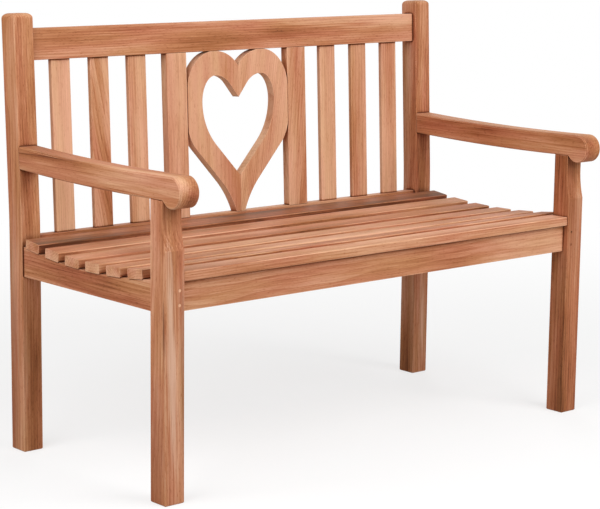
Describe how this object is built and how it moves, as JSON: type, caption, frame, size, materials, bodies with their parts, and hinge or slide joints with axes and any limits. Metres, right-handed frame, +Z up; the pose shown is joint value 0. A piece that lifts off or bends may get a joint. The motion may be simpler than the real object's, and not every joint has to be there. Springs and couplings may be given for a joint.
{
  "type": "garden bench",
  "caption": "Slatted teak garden bench for two with scrolled armrests, a dished seat and a slatted back around an open wooden heart.",
  "frame": {"origin": "on the floor, in the middle of the bench's whole length and depth", "axes": "+X along the bench to the right of a viewer who faces it, +Y from front to back, +Z up"},
  "size_m": [1.2, 0.6104, 0.9295],
  "materials": {
    "teak_frame": "planed and sanded teak, bare",
    "teak_seat": "planed and sanded teak, bare",
    "teak_back": "planed and sanded teak, bare",
    "teak_heart": "sawn and sanded teak, bare",
    "teak_pegs": "turned teak, cut flush"
  },
  "bodies": {
    "root": {"apron_pegs_left": "teak_pegs", "apron_pegs_right": "teak_pegs", "armrest_left": "teak_frame", "armrest_right": "teak_frame", "back_pegs_left": "teak_pegs", "back_pegs_right": "teak_pegs", "back_slat_1_left": "teak_back", "back_slat_1_right": "teak_back", "back_slat_2_left": "teak_back", "back_slat_2_right": "teak_back", "back_slat_3_left": "teak_back", "back_slat_3_right": "teak_back", "front_apron": "teak_frame", "front_leg_left": "teak_frame", "front_leg_right": "teak_frame", "heart_half_left": "teak_heart", "heart_half_right": "teak_heart", "heart_stile_left": "teak_back", "heart_stile_right": "teak_back", "lower_back_rail": "teak_frame", "rear_post_left": "teak_frame", "rear_post_right": "teak_frame", "seat_bearer": "teak_frame", "seat_slat_1": "teak_seat", "seat_slat_2": "teak_seat", "seat_slat_3": "teak_seat", "seat_slat_4": "teak_seat", "seat_slat_5": "teak_seat", "seat_slat_6": "teak_seat", "seat_slat_front": "teak_seat", "side_rail_left": "teak_frame", "side_rail_right": "teak_frame", "top_rail": "teak_frame"}
  },
  "joints": []
}
